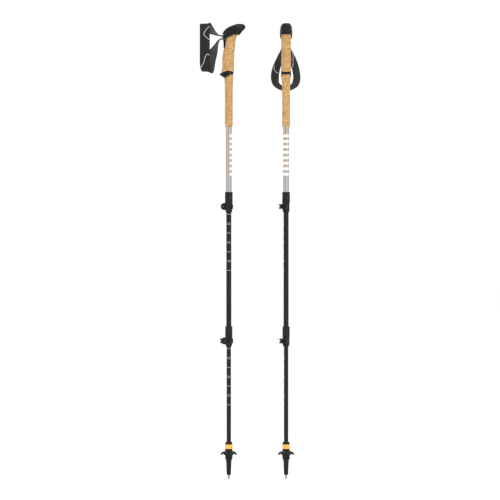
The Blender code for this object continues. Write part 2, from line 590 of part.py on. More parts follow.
build_pole("left", (0, 0, 0), 0.0, LEFT_STRAP)
build_pole("right", (POLE_SPACING, 0, 0), -90.0, RIGHT_STRAP)
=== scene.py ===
"""The looks of a pair of telescoping trekking poles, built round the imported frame. Metres, +Z up."""
import json
import math

import bmesh
import bpy
from mathutils import Matrix, Vector, noise


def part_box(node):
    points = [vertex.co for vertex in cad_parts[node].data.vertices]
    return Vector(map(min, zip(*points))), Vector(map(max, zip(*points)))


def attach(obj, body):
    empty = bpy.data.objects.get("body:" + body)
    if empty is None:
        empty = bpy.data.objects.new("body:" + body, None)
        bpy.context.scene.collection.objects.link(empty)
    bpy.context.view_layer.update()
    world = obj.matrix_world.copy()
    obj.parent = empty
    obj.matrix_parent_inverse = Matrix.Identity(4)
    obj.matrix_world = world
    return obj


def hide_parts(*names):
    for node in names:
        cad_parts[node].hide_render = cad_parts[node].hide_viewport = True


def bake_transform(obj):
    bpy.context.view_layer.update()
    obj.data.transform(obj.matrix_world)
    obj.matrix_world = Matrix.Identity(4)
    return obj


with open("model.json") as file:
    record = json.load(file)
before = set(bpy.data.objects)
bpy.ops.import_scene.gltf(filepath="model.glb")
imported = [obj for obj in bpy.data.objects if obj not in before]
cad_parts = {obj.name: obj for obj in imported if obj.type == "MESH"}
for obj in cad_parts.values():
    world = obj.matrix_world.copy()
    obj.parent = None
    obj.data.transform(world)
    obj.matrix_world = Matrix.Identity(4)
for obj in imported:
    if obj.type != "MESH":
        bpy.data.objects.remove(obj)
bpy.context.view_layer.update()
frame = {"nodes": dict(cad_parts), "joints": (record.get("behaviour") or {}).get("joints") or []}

MM = 0.001
FINE = 56                          # segments round a turned piece
JOINTS = {joint["name"]: joint for joint in frame["joints"]}


# Frame facts ----------------------------------------------------------------------------------
def axis_of(node):
    low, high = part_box(node)
    return (low.x + high.x) / 2, (low.y + high.y) / 2


def shaft_place(side, joint, height):
    """A frame on the shaft, turned so that its +Y runs along the named joint's axis."""
    x, y = axis_of(f"{side}_upper_tube")
    direction = JOINTS[f"{side}_{joint}"]["axis"]
    turn = math.atan2(-direction[0], direction[1])
    return Matrix.Translation((x, y, height)) @ Matrix.Rotation(turn, 4, "Z")


def lock_matrix(side, lock):
    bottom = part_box(f"{side}_{lock}_lock_sleeve")[0].z
    return shaft_place(side, f"{lock}_screw_turn", bottom)


def pole_matrix(side):
    return shaft_place(side, "strap_swing", 0)


# Camera, light, floor -------------------------------------------------------------------------
def build_stage():
    camera_data = bpy.data.cameras.new("camera")
    camera = bpy.data.objects.new("camera", camera_data)
    bpy.context.scene.collection.objects.link(camera)
    distance, view_height = 9.0, 1.34
    camera.location = (0.0568, -distance, 0.6145)
    camera.rotation_euler = (math.radians(90), 0, 0)
    camera_data.sensor_width = 36.0
    camera_data.lens = camera_data.sensor_width * distance / view_height
    camera_data.clip_end = 60
    bpy.context.scene.camera = camera

    # A wide flat floor that meets the white surroundings at the horizon. It lies below the tips of the
    # fully extended poles, so that no pose dips into it.
    reach, depth = 60.0, 0.09
    mesh = bpy.data.meshes.new("studio_floor")
    corners = [(x * reach, y * reach, -depth) for x, y in ((-1, -1), (1, -1), (1, 1), (-1, 1))]
    mesh.from_pydata(corners, [], [(0, 1, 2, 3)])
    floor = bpy.data.objects.new("studio_floor", mesh)
    bpy.context.scene.collection.objects.link(floor)
    paper = bpy.data.materials.new("studio_paper")
    paper.use_nodes = True
    shader = paper.node_tree.nodes["Principled BSDF"]
    shader.inputs["Base Color"].default_value = (0.97, 0.97, 0.97, 1)
    shader.inputs["Roughness"].default_value = 0.9
    mesh.materials.append(paper)

    world = bpy.data.worlds.new("studio")
    world.use_nodes = True
    world.node_tree.nodes["Background"].inputs["Color"].default_value = (1, 1, 1, 1)
    world.node_tree.nodes["Background"].inputs["Strength"].default_value = 1.06
    bpy.context.scene.world = world
    lights = [
        ("key", (2.3, -2.4, 1.6), (0.45, 3.4), 30, 0.6),
        ("fill", (-2.5, -1.9, 1.5), (0.4, 3.4), 18, 0.6),
        ("front", (0.9, -4.2, 3.4), (1.2, 1.2), 14, 0.8),
        ("rear", (-1.0, 3.4, 2.6), (1.6, 1.6), 14, 0.8),
        ("top", (0.4, -0.9, 3.2), (1.2, 0.6), 12, 1.2),
    ]
    for name, place, size, power, aim_height in lights:
        data = bpy.data.lights.new(name, "AREA")
        data.shape = "RECTANGLE"
        data.size, data.size_y = size
        data.energy = power
        lamp = bpy.data.objects.new(name, data)
        bpy.context.scene.collection.objects.link(lamp)
        lamp.location = place
        aim = Vector((0.06, 0.0, aim_height))
        lamp.rotation_euler = (aim - Vector(place)).to_track_quat("-Z", "Y").to_euler()
    bpy.context.scene.view_settings.view_transform = "Standard"


# Materials ------------------------------------------------------------------------------------
class Paint:
    """A Principled material with a few node helpers."""

    def __init__(self, name, color, roughness, metallic=0.0):
        self.material = bpy.data.materials.new(name)
        self.material.use_nodes = True
        self.tree = self.material.node_tree
        self.shader = self.tree.nodes["Principled BSDF"]
        self.shader.inputs["Base Color"].default_value = (*color, 1)
        self.shader.inputs["Roughness"].default_value = roughness
        self.shader.inputs["Metallic"].default_value = metallic
        self.place = self.tree.nodes.new("ShaderNodeTexCoord").outputs["Object"]

    def set(self, **values):
        for socket, value in values.items():
            self.shader.inputs[socket.replace("_", " ")].default_value = value
        return self

    def link(self, a, b):
        self.tree.links.new(a, b)

    def noise(self, scale, detail=3.0, rough=0.6, stretch=None):
        node = self.tree.nodes.new("ShaderNodeTexNoise")
        node.inputs["Scale"].default_value = scale
        node.inputs["Detail"].default_value = detail
        node.inputs["Roughness"].default_value = rough
        self.link(self.stretched(stretch), node.inputs["Vector"])
        return node.outputs["Fac"]

    def cells(self, scale, feature="F1", output="Distance"):
        node = self.tree.nodes.new("ShaderNodeTexVoronoi")
        node.feature = feature
        node.inputs["Scale"].default_value = scale
        self.link(self.place, node.inputs["Vector"])
        return node.outputs[output]

    def stretched(self, factors):
        if not factors:
            return self.place
        node = self.tree.nodes.new("ShaderNodeMapping")
        node.inputs["Scale"].default_value = factors
        self.link(self.place, node.inputs["Vector"])
        return node.outputs["Vector"]

    def wave(self, scale, direction):
        node = self.tree.nodes.new("ShaderNodeTexWave")
        node.bands_direction = direction
        node.inputs["Scale"].default_value = scale
        node.inputs["Distortion"].default_value = 0.6
        self.link(self.place, node.inputs["Vector"])
        return node.outputs["Fac"]

    def ramp(self, value, stops):
        node = self.tree.nodes.new("ShaderNodeValToRGB")
        while len(node.color_ramp.elements) < len(stops):
            node.color_ramp.elements.new(0.5)
        for element, (place, color) in zip(node.color_ramp.elements, stops):
            element.position = place
            element.color = (*color, 1)
        self.link(value, node.inputs["Fac"])
        return node.outputs["Color"]

    def math(self, operation, a, b):
        node = self.tree.nodes.new("ShaderNodeMath")
        node.operation = operation
        for socket, value in zip(node.inputs, (a, b)):
            if isinstance(value, (int, float)):
                socket.default_value = value
            else:
                self.link(value, socket)
        return node.outputs["Value"]

    def mix(self, factor, a, b, mode="MIX"):
        node = self.tree.nodes.new("ShaderNodeMix")
        node.data_type = "RGBA"
        node.blend_type = mode
        for socket, value in ((node.inputs["Factor"], factor), (node.inputs["A"], a), (node.inputs["B"], b)):
            if isinstance(value, (int, float)):
                socket.default_value = value
            elif isinstance(value, tuple):
                socket.default_value = (*value, 1)
            else:
                self.link(value, socket)
        return node.outputs["Result"]

    def color(self, value):
        self.link(value, self.shader.inputs["Base Color"])
        return self

    def rough(self, value, low, high):
        node = self.tree.nodes.new("ShaderNodeMapRange")
        node.inputs["To Min"].default_value = low
        node.inputs["To Max"].default_value = high
        self.link(value, node.inputs["Value"])
        self.link(node.outputs["Result"], self.shader.inputs["Roughness"])
        return self

    def bump(self, value, height, strength=0.6):
        node = self.tree.nodes.new("ShaderNodeBump")
        node.inputs["Distance"].default_value = height
        node.inputs["Strength"].default_value = strength
        self.link(value, node.inputs["Height"])
        self.link(node.outputs["Normal"], self.shader.inputs["Normal"])
        return self


def cork_paint():
    """Pressed cork: warm granules of several tones, dark specks and pits."""
    paint = Paint("cork_surface", (0.58, 0.34, 0.12), 0.85)
    grain = paint.cells(430, output="Color")
    tone = paint.ramp(grain, [(0.0, (0.25, 0.115, 0.033)), (0.22, (0.42, 0.225, 0.076)),
                              (0.5, (0.54, 0.315, 0.12)), (1.0, (0.68, 0.44, 0.2))])
    cloud = paint.ramp(paint.noise(95, 4), [(0.3, (0.72, 0.70, 0.66)), (0.7, (1, 1, 1))])
    specks = paint.ramp(paint.noise(700, 2), [(0.32, (0.35, 0.25, 0.16)), (0.42, (1, 1, 1))])
    color = paint.mix(1.0, paint.mix(0.9, tone, cloud, "MULTIPLY"), specks, "MULTIPLY")
    height = paint.math("ADD", paint.cells(430, "DISTANCE_TO_EDGE"), paint.noise(900, 3))
    return paint.color(color).rough(paint.noise(300), 0.7, 0.95).bump(height, 0.0005, 0.7).material


def moulded_paint(name, dark, light, low, high, scale=1500):
    """Moulded plastic: a fine spark-eroded texture, and slightly worn patches."""
    paint = Paint(name, dark, (low + high) / 2)
    color = paint.ramp(paint.noise(60, 4), [(0.35, dark), (0.75, light)])
    paint.color(color).rough(paint.noise(240, 4), low, high).bump(paint.noise(scale, 2), 0.00012, 0.5)
    paint.set(Specular_IOR_Level=0.17)
    return paint.material


def champagne_paint():
    """Anodised tube: champagne above, fading to bare silver near the lock, with drawn grain."""
    paint = Paint("anodised_champagne", (0.43, 0.36, 0.29), 0.32, 0.75)
    split = paint.tree.nodes.new("ShaderNodeSeparateXYZ")
    paint.link(paint.place, split.inputs["Vector"])
    fade = paint.tree.nodes.new("ShaderNodeMapRange")
    fade.inputs["From Min"].default_value = 0.802
    fade.inputs["From Max"].default_value = 0.822
    paint.link(split.outputs["Z"], fade.inputs["Value"])
    tone = paint.mix(fade.outputs["Result"], (0.35, 0.35, 0.345), (0.39, 0.325, 0.265))
    grain = paint.noise(240, 2, stretch=(1, 1, 0.01))
    streak = paint.ramp(grain, [(0.3, (0.94, 0.94, 0.94)), (0.7, (1, 1, 1))])
    paint.color(paint.mix(0.8, tone, streak, "MULTIPLY"))
    return paint.rough(paint.noise(200, 2, stretch=(1, 1, 0.02)), 0.3, 0.38).material


def black_tube_paint():
    paint = Paint("anodised_black", (0.006, 0.006, 0.0063), 0.2)
    color = paint.ramp(paint.noise(700, 3, stretch=(1, 1, 0.01)),
                       [(0.3, (0.003, 0.003, 0.0032)), (0.7, (0.009, 0.009, 0.0094))])
    paint.color(color).rough(paint.noise(300, 3, stretch=(1, 1, 0.05)), 0.12, 0.24)
    return paint.set(Specular_IOR_Level=0.2).material


def fabric_paint(name, dark, light, sheen):
    """Woven band: crossed threads with a little tone variation."""
    paint = Paint(name, light, 0.85)
    weave = paint.math("MULTIPLY", paint.wave(420, "Z"), paint.wave(420, "DIAGONAL"))
    tone = paint.ramp(weave, [(0.0, dark), (0.6, light)])
    cloud = paint.ramp(paint.noise(70, 3), [(0.3, (0.82, 0.82, 0.82)), (0.7, (1, 1, 1))])
    paint.color(paint.mix(1.0, tone, cloud, "MULTIPLY")).rough(paint.noise(500), 0.75, 0.95)
    paint.bump(weave, 0.0003, 0.6)
    return paint.set(Sheen_Weight=sheen, Sheen_Roughness=0.5, Specular_IOR_Level=0.15).material


def metal_paint(name, color, low, high):
    paint = Paint(name, color, (low + high) / 2, 1.0)
    dark = tuple(channel * 0.75 for channel in color)
    paint.color(paint.ramp(paint.noise(500, 3), [(0.3, dark), (0.7, color)]))
    return paint.rough(paint.noise(900, 4), low, high).material


def orange_paint():
    paint = Paint("orange_moulding", (1.0, 0.44, 0.06), 0.4)
    paint.color(paint.ramp(paint.noise(120, 3), [(0.3, (0.93, 0.38, 0.045)), (0.7, (1.0, 0.47, 0.075))]))
    return paint.rough(paint.noise(400), 0.34, 0.5).bump(paint.noise(1500, 2), 0.0001, 0.4).material


def print_paint(name, color):
    """Screen-printed marks: flat ink with slightly worn patches."""
    paint = Paint(name, color, 0.55)
    worn = tuple(channel * 0.8 for channel in color)
    return paint.color(paint.ramp(paint.noise(900, 3), [(0.32, worn), (0.45, color)])).material


# Mesh helpers ---------------------------------------------------------------------------------
def link_mesh(name, mesh):
    item = bpy.data.objects.new(name, mesh)
    bpy.context.scene.collection.objects.link(item)
    return item


def baked(item):
    """Apply every modifier on a piece."""
    bpy.context.view_layer.update()
    mesh = bpy.data.meshes.new_from_object(item.evaluated_get(bpy.context.evaluated_depsgraph_get()))
    item.modifiers.clear()
    item.data = mesh
    return item


def combine(item, cutter, operation="DIFFERENCE"):
    boolean = item.modifiers.new("combine", "BOOLEAN")
    boolean.operation = operation
    boolean.object = cutter
    baked(item)
    bpy.data.objects.remove(cutter)
    return item


def soften(item, width, segments=2, angle=30):
    bevel = item.modifiers.new("edges", "BEVEL")
    bevel.width = width
    bevel.segments = segments
    bevel.limit_method = "ANGLE"
    bevel.angle_limit = math.radians(angle)
    bevel.harden_normals = True
    return baked(item)


def finish_piece(item, matrix, body, material, nodes=(), sharp=38):
    """Shade a finished piece, put it in place, and tie it to its body."""
    item.data.transform(matrix)
    item.data.update()
    if not item.data.materials:
        item.data.materials.append(material)
    item.data.shade_smooth()
    item.data.set_sharp_from_angle(angle=math.radians(sharp))
    if body:
        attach(item, body)
    if nodes:
        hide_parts(*nodes)
    return item


def turned(name, profile, steps=FINE):
    """Turn a closed (radius, z) outline about Z; points at radius 0 close the piece on its axis."""
    form = bmesh.new()
    rows = []
    for radius, z in profile:
        if radius < 1e-7:
            rows.append([form.verts.new((0, 0, z))])
            continue
        rows.append([form.verts.new((radius * math.cos(2 * math.pi * i / steps),
                                     radius * math.sin(2 * math.pi * i / steps), z)) for i in range(steps)])
    for a, b in zip(rows, rows[1:] + rows[:1]):
        for i in range(steps):
            j = (i + 1) % steps
            if len(a) == 1 and len(b) == 1:
                continue
            if len(a) == 1:
                form.faces.new((a[0], b[j], b[i]))
            elif len(b) == 1:
                form.faces.new((a[i], a[j], b[0]))
            else:
                form.faces.new((a[i], a[j], b[j], b[i]))
    bmesh.ops.recalc_face_normals(form, faces=form.faces)
    mesh = bpy.data.meshes.new(name)
    form.to_mesh(mesh)
    form.free()
    return link_mesh(name, mesh)


def tube(name, outer, inner, bottom, top, lip=0.0003):
    profile = [(outer - lip, top), (outer, top - lip), (outer, bottom + lip), (outer - lip, bottom),
               (inner, bottom), (inner, top)]
    return turned(name, profile)


def box_piece(name, low, high):
    form = bmesh.new()
    bmesh.ops.create_cube(form, size=1.0)
    bmesh.ops.scale(form, verts=form.verts, vec=Vector(high) - Vector(low))
    bmesh.ops.translate(form, verts=form.verts, vec=(Vector(low) + Vector(high)) / 2)
    mesh = bpy.data.meshes.new(name)
    form.to_mesh(mesh)
    form.free()
    return link_mesh(name, mesh)


def box_mm(name, low, high):
    return box_piece(name, *in_mm([low, high]))


def prism(name, outline, low, high, upright=True):
    """A flat outline with a thickness: XZ outline between two y values, or XY between two z values."""
    form = bmesh.new()
    rows = []
    for depth in (low, high):
        rows.append([form.verts.new((u, depth, v) if upright else (u, v, depth)) for u, v in outline])
    count = len(outline)
    for i in range(count):
        j = (i + 1) % count
        form.faces.new((rows[0][i], rows[0][j], rows[1][j], rows[1][i]))
    for row in rows:
        form.faces.new(row)
    bmesh.ops.recalc_face_normals(form, faces=form.faces)
    mesh = bpy.data.meshes.new(name)
    form.to_mesh(mesh)
    form.free()
    return link_mesh(name, mesh)


def loft(name, rings):
    form = bmesh.new()
    rows = [[form.verts.new(point) for point in ring] for ring in rings]
    count = len(rings[0])
    for a, b in zip(rows, rows[1:]):
        for i in range(count):
            j = (i + 1) % count
            form.faces.new((a[i], a[j], b[j], b[i]))
    form.faces.new(rows[0])
    form.faces.new(rows[-1])
    bmesh.ops.recalc_face_normals(form, faces=form.faces)
    mesh = bpy.data.meshes.new(name)
    form.to_mesh(mesh)
    form.free()
    return link_mesh(name, mesh)


def joined(name, items):
    """Merge the meshes of several pieces into the first one."""
    form = bmesh.new()
    for item in items:
        form.from_mesh(item.data)
    mesh = bpy.data.meshes.new(name)
    form.to_mesh(mesh)
    form.free()
    for item in items:
        bpy.data.objects.remove(item)
    return link_mesh(name, mesh)


def in_mm(points):
    return [tuple(value * MM for value in point) for point in points]


def arc(center, radius, start_deg, end_deg, count):
    return [(center[0] + radius * math.cos(math.radians(start_deg + (end_deg - start_deg) * i / count)),
             center[1] + radius * math.sin(math.radians(start_deg + (end_deg - start_deg) * i / count)))
            for i in range(count + 1)]


def smooth_value(values, t):
    """Catmull-Rom value at t, where t counts stations."""
    t = max(0.0, min(t, len(values) - 1.0))
    i = min(int(t), len(values) - 2)
    u = t - i
    p1, p2 = values[i], values[i + 1]
    p0 = values[i - 1] if i > 0 else p1 * 2 - p2
    p3 = values[i + 2] if i + 2 < len(values) else p2 * 2 - p1
    return 0.5 * ((p1 * 2) + (p2 - p0) * u + (p0 * 2 - p1 * 5 + p2 * 4 - p3) * u * u
                  + (p1 * 3 - p0 - p2 * 3 + p3) * u * u * u)


def smooth_rows(rows, steps):
    """Finer rows of numbers, read from a smooth curve through the given rows."""
    values = [Vector(row) for row in rows]
    count = (len(rows) - 1) * steps
    return [smooth_value(values, k / steps) for k in range(count + 1)]


def oval_ring(z, rear, front, half_width, power=2.3, count=64):
    ring = []
    for i in range(count):
        angle = 2 * math.pi * i / count
        cosine, sine = math.cos(angle), math.sin(angle)
        x = math.copysign(abs(cosine) ** (2 / power), cosine)
        y = math.copysign(abs(sine) ** (2 / power), sine)
        ring.append(((rear + front) / 2 + x * (front - rear) / 2, y * half_width, z))
    return ring


def oval_loft(name, sections, steps=4, power=2.3):
    rings = [oval_ring(*(value * MM for value in row), power=power) for row in smooth_rows(sections, steps)]
    return loft(name, rings)


def cork_surface(item, depth=0.00018):
    """Small dents and swellings of pressed cork."""
    for vertex in item.data.vertices:
        shake = noise.noise(vertex.co * 260) * 0.6 + noise.noise(vertex.co * 900) * 0.4
        vertex.co += vertex.normal * shake * depth
    return item


# Grip -----------------------------------------------------------------------------------------
HEAD_SECTIONS = [
    (1152.0, -14.3, 17.0, 13.4), (1168.0, -14.6, 18.2, 13.9), (1178.0, -16.0, 19.5, 15.0),
    (1183.0, -17.4, 23.5, 16.2), (1188.0, -18.2, 27.0, 16.6), (1193.4, -17.5, 31.4, 17.1),
    (1198.8, -15.4, 35.4, 17.2), (1204.1, -11.9, 40.4, 16.6), (1209.5, -5.8, 44.4, 15.9),
    (1213.0, 0.0, 44.6, 14.8), (1216.5, 8.0, 43.2, 12.8), (1219.3, 16.5, 40.0, 10.2),
    (1220.7, 23.0, 34.5, 6.0),
]
CORK_SECTIONS = [
    (1072.0, -22.0, 13.0, 13.2), (1085.0, -21.8, 13.2, 13.3), (1092.0, -20.4, 13.4, 13.3),
    (1099.0, -18.4, 13.7, 13.2), (1108.0, -17.4, 14.1, 13.3), (1120.0, -17.6, 14.5, 13.2),
    (1132.0, -17.2, 14.7, 12.8), (1144.0, -15.0, 15.2, 12.4), (1156.0, -13.2, 16.4, 12.6),
    (1168.0, -12.8, 17.5, 13.0), (1178.0, -12.8, 18.4, 13.1), (1186.0, -12.8, 21.5, 13.1),
    (1193.0, -12.0, 26.0, 12.6),
]
RING_SECTIONS = [
    (1072.0, -12.5, 12.2, 12.6), (1077.0, -15.0, 12.2, 13.2), (1081.0, -21.5, 12.3, 13.6),
    (1085.0, -26.2, 12.4, 13.8), (1088.0, -24.0, 12.6, 13.8), (1091.0, -21.2, 13.4, 13.6),
    (1097.0, -19.0, 14.0, 13.5),
]
HEAD_BOUNDARY = [
    (50.0, 1194.0), (30.0, 1190.6), (23.0, 1191.6), (16.5, 1192.0), (10.0, 1189.8), (4.0, 1186.8),
    (-3.0, 1184.2), (-6.8, 1181.0), (-8.2, 1174.0), (-9.4, 1165.0), (-11.6, 1155.6), (-16.0, 1157.0),
]
RING_TOP = [
    (-32.0, 1085.8), (-26.1, 1085.6), (-19.0, 1088.4), (-12.0, 1091.6), (-1.0, 1094.6), (8.0, 1092.3),
    (20.0, 1090.2),
]
RING_BOTTOM = [
    (20.0, 1084.2), (6.0, 1084.4), (-2.8, 1080.2), (-11.1, 1075.4), (-14.5, 1076.6), (-20.0, 1080.6),
    (-26.1, 1084.6), (-32.0, 1084.8),
]
# Clearance left between the cork and the pieces set against it, mm.
GRIP_GAP = 0.25
OVER_HEAD = [(60.0, 1260.0), (-60.0, 1260.0), (-60.0, 1157.0)]
BORE_RADIUS = 8.15 * MM


def fine_line(points, steps=4):
    return [tuple(point) for point in smooth_rows([(x, z, 0) for x, z in points], steps)]


def outline_cutter(name, points):
    return prism(name, in_mm([(p[0], p[1]) for p in points]), -0.04, 0.04)


def grip_bore():
    return turned("bore", [(0, 1.25), (BORE_RADIUS, 1.25), (BORE_RADIUS, 0.9), (0, 0.9)])


def build_grip(side, matrix):
    body = f"{side}_upper"
    head_line = fine_line(HEAD_BOUNDARY)
    top_line, bottom_line = fine_line(RING_TOP), fine_line(RING_BOTTOM)

    cork = oval_loft(f"{side}_cork_handle", CORK_SECTIONS, 6)
    combine(cork, grip_bore())
    head_space = OVER_HEAD + [(p[0], p[1] - GRIP_GAP) for p in reversed(head_line)]
    combine(cork, outline_cutter("head_space", head_space))
    combine(cork, outline_cutter("ring_space", [(-60.0, 1040.0), (60.0, 1040.0), (60.0, 1090.4)]
                                 + [(p[0], p[1] + 0.25) for p in reversed(top_line)] + [(-60.0, 1086.0)]))
    cork_surface(cork)
    finish_piece(cork, matrix, body, CORK, [f"{side}_grip_cork"], 50)

    ring = oval_loft(f"{side}_hand_ring", RING_SECTIONS, 5, 2.0)
    combine(ring, outline_cutter("ring_zone", [(p[0], p[1]) for p in bottom_line]
                                 + [(p[0], p[1]) for p in top_line]), "INTERSECT")
    combine(ring, grip_bore())
    soften(ring, 0.5 * MM, 2, 40)
    finish_piece(ring, matrix, body, HEAD_PLASTIC, [f"{side}_grip_ring"])

    profile = [(11.7, 1094.0), (11.7, 1071.0), (10.95, 1056.0), (10.7, 1044.0), (10.6, 1032.0)]
    profile += [(10.6, 1032.0 - 84.0 * i / 24) for i in range(1, 25)]
    profile += [(10.35, 946.6), (9.8, 945.6), (8.3, 945.5), (8.3, 1094.0)]
    extension = turned(f"{side}_cork_sleeve", in_mm(profile), 72)
    combine(extension, outline_cutter("ring_over", [(-32.0, 1140.0), (-32.0, 1084.6)]
                                      + [(p[0], p[1] - GRIP_GAP) for p in reversed(bottom_line)]
                                      + [(20.0, 1140.0)]))
    cork_surface(extension)
    finish_piece(extension, matrix, body, CORK, [f"{side}_grip_extension"], 50)

    head = oval_loft(f"{side}_grip_cap", HEAD_SECTIONS, 6)
    combine(head, outline_cutter("head_zone", OVER_HEAD + [(p[0], p[1]) for p in reversed(head_line)]),
            "INTERSECT")
    combine(head, turned("tube_space", [(0, 1.1803), (BORE_RADIUS, 1.1803), (BORE_RADIUS, 1.14), (0, 1.14)]))
    combine(head, box_mm("slot", (-40, -11.5, 1185.8), (0, 11.5, 1191.6)))
    combine(head, box_mm("tail", (-40, -11.5, 1177.2), (-12.5, 11.5, 1182.2)))
    combine(head, box_mm("recess", (21, -5.3, 1217.2), (34.6, 5.3, 1230)))
    soften(head, 0.45 * MM, 2, 45)
    finish_piece(head, matrix, body, HEAD_PLASTIC, [f"{side}_grip_head"])

    badge = box_mm(f"{side}_cap_insert", (21.2, -5.1, 1217.4), (34.4, 5.1, 1220.3))
    soften(badge, 1.0 * MM, 3)
    finish_piece(badge, matrix, body, BADGE, [f"{side}_head_badge"])

    # Hidden pieces keep their CAD shape.
    webbing = box_mm(f"{side}_inner_webbing", (-13.0, -9.4, 1186.35), (-4.3, 9.4, 1187.75))
    soften(webbing, 0.3 * MM, 2)
    finish_piece(webbing, matrix, body, STRAP_OUTER, [f"{side}_strap_webbing"])
    for node, material in (("strap_wedge", HEAD_PLASTIC), ("strap_pin", STEEL)):
        dress(f"{side}_{node}", material)


def dress(node, material):
    mesh = frame["nodes"][node].data
    mesh.materials.clear()
    mesh.materials.append(material)


# Wrist straps ---------------------------------------------------------------------------------
# Stations: centre x, y, z, then the direction across the band x, y, z, then its width; millimetres.
LEFT_STRAP = [
    (-13.2, 0.0, 1187.9, 0, 1, 0, 19), (-21.6, 0.0, 1188.7, 0, 1, 0, 19),
    (-31.0, 0.0, 1191.4, 0.24, 0.95, 0.2, 20),
    (-41.0, 2.0, 1197.0, 0.6, 0.76, 0.26, 23), (-51.0, 4.0, 1206.0, 0.86, 0.45, 0.25, 26),
    (-58.0, 4.0, 1213.5, 0.97, 0.1, 0.12, 27),
    (-62.5, 0.5, 1218.6, 1, 0, 0.04, 27), (-63.8, -6.0, 1219.4, 1, 0, 0.04, 27),
    (-64.2, -10.5, 1214.0, 1, 0, 0.03, 27), (-64.2, -12.0, 1198.0, 1, 0, 0, 27),
    (-64.2, -13.0, 1170.0, 1, 0, 0, 27), (-64.2, -13.0, 1140.0, 1, 0, 0, 27),
    (-64.2, -12.0, 1115.0, 1, 0, -0.08, 27), (-62.4, -9.0, 1101.0, 1, 0.05, -0.14, 26),
    (-56.6, -1.0, 1093.4, 1, 0.1, -0.26, 25), (-52.2, 6.4, 1097.2, 1, 0.05, -0.2, 25),
    (-50.4, 10.0, 1110.0, 1, 0, 0.06, 26), (-47.4, 11.5, 1128.0, 1, 0, 0.16, 26),
    (-41.6, 10.0, 1146.0, 0.88, 0.3, 0.3, 25), (-34.8, 6.0, 1162.0, 0.6, 0.72, 0.32, 23),
    (-28.0, 2.0, 1174.5, 0.28, 0.95, 0.18, 20), (-21.6, 0.0, 1179.7, 0, 1, 0, 19),
    (-12.9, 0.0, 1179.7, 0, 1, 0, 19),
]
RIGHT_STRAP = [
    (-13.2, 0.0, 1187.9, 0, 1, 0, 19), (-21.6, 0.0, 1188.7, 0, 1, 0, 19),
    (-31.0, -0.8, 1188.6, 0.1, 1, 0.1, 20),
    (-41.5, -1.8, 1178.0, 0.5, 0.86, 0.2, 22), (-46.0, -5.2, 1157.0, 0.78, 0.6, 0.2, 25),
    (-45.5, -13.2, 1135.0, 0.64, 0.74, 0.24, 27), (-44.0, -24.0, 1110.0, 0.62, 0.77, 0.15, 27),
    (-42.5, -29.4, 1086.0, 0.63, 0.78, 0.02, 27), (-40.0, -28.0, 1068.0, 0.7, 0.66, 0.3, 27),
    (-36.0, -20.0, 1055.4, 0.85, 0.2, 0.46, 26), (-33.5, -8.0, 1049.4, 0.9, 0.04, 0.42, 25),
    (-33.0, 4.0, 1048.8, 0.9, -0.03, 0.42, 25), (-35.0, 16.0, 1053.4, 0.87, -0.2, 0.44, 26),
    (-39.0, 26.0, 1064.4, 0.74, -0.58, 0.32, 27), (-42.5, 29.4, 1080.0, 0.72, -0.69, 0.06, 27),
    (-42.5, 25.2, 1106.0, 0.68, -0.72, 0.14, 27), (-38.0, 15.6, 1130.0, 0.62, -0.76, 0.2, 27),
    (-32.0, 6.0, 1152.0, 0.7, -0.68, 0.2, 24), (-27.5, 1.6, 1170.5, 0.4, -0.9, 0.1, 21),
    (-21.6, 0.0, 1179.7, 0, -1, 0, 19), (-12.9, 0.0, 1179.7, 0, -1, 0, 19),
]
BAND_HALF = 1.7                    # mm, half the padded band's thickness
# Piped lines: (station, mm across the band from its middle).
PIPING = {
    "left": [
        [(8.1, 12.6), (8.5, 6.5), (9.05, -1.2), (9.3, -2.0), (9.55, 4.3), (9.75, 12.6)],
        [(11.15, 12.6), (11.04, 7.0), (11.3, 1.4), (11.65, -1.0), (12, -3.7), (12.3, -7.2), (12.7, -12.6)],
    ],
    "right": [
        [(6, -8.4), (6.3, -6.0), (6.6, 1.0), (6.8, 12.6)],
        [(15.1, 12.6), (15.4, 6.0), (15.8, 0.0), (16.2, -7.0), (16.5, -12.4)],
    ],
}


class Band:
    """A flat strap that bends and twists along its stations."""

    def __init__(self, stations):
        self.centers = [Vector(s[:3]) for s in stations]
        self.across = [Vector(s[3:6]).normalized() for s in stations]
        self.widths = [s[6] for s in stations]
        self.last = len(stations) - 1

    def axes(self, t):
        ahead = smooth_value(self.centers, t + 0.05) - smooth_value(self.centers, t - 0.05)
        along = ahead.normalized()
        side = smooth_value(self.across, t)
        side = (side - along * side.dot(along)).normalized()
        return along, side, along.cross(side)

    def half(self, t):
        return smooth_value(self.widths, t) / 2

    def point(self, t, across, lift):
        _, side, normal = self.axes(t)
        return (smooth_value(self.centers, t) + side * across + normal * lift) * MM


def puff(share):
    """Thickness of the padded band across its width: thin bound edges, soft middle."""
    return 0.46 + 0.54 * max(0.0, 1 - abs(share) ** 3.2) ** 0.6


